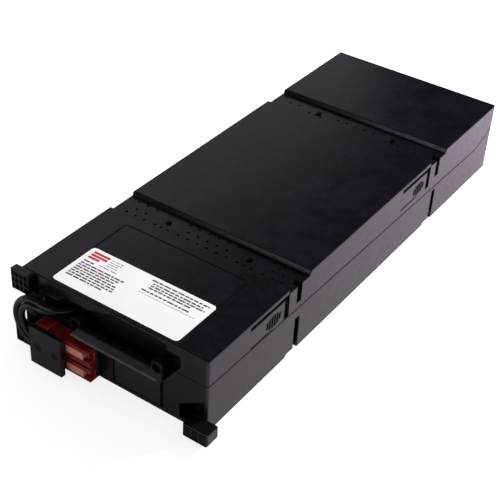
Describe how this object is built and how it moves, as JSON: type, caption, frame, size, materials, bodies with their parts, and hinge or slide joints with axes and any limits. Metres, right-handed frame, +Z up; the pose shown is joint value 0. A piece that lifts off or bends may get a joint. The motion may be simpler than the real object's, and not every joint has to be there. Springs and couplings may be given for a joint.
{
  "type": "ups battery cartridge",
  "caption": "Long low black plastic battery cartridge with stepped troughs across the top, a front grip bar and a looped lead to a red power connector.",
  "frame": {"origin": "middle of the case's flat underside", "axes": "+Z up, -Y the front with the handle and the connector, +X to the right seen from the front"},
  "size_m": [0.2307, 0.587, 0.0852],
  "materials": {
    "case": "satin moulded plastic, near black",
    "inner_plastic": "matte black plastic",
    "grommet_rubber": "matte",
    "handle": "satin moulded plastic",
    "screw_steel": "black zinc plated",
    "label": "white printed film with grey and red fields",
    "lug": "matte black plastic",
    "bracket": "satin black plastic",
    "connector_red": "semi-gloss red housing plastic",
    "carrier": "pale pink plastic",
    "contact": "silver plated copper",
    "lead": "black cable sheath",
    "jumper": "black wire insulation",
    "socket": "translucent nylon",
    "battery": "dark grey battery case",
    "foam": "closed-cell foam"
  },
  "bodies": {
    "root": {"battery_terminals": "contact", "bottom_tray": "case", "connector_bracket": "bracket", "connector_contact_carriers": "carrier", "connector_contacts": "contact", "connector_cover_plate": "bracket", "connector_hood": "connector_red", "connector_housing": "connector_red", "cover_plate_screws": "screw_steel", "cover_screws": "screw_steel", "cross_jumper": "jumper", "foam_strip_1": "foam", "foam_strip_2": "foam", "foam_strip_3": "foam", "foam_strip_4": "foam", "front_bulkhead": "inner_plastic", "handle": "handle", "handle_screws": "screw_steel", "inner_lead": "lead", "jumper_sockets": "socket", "label": "label", "lead_grommet": "grommet_rubber", "left_battery_1": "battery", "left_battery_2": "battery", "left_battery_3": "battery", "left_battery_4": "battery", "left_jumper_1": "jumper", "left_jumper_2": "jumper", "left_jumper_3": "jumper", "lower_left_lug": "lug", "lower_right_lug": "lug", "outer_lead": "lead", "right_battery_1": "battery", "right_battery_2": "battery", "right_battery_3": "battery", "right_battery_4": "battery", "right_jumper_1": "jumper", "right_jumper_2": "jumper", "right_jumper_3": "jumper", "top_cover": "case", "upper_left_lug": "lug"}
  },
  "joints": []
}
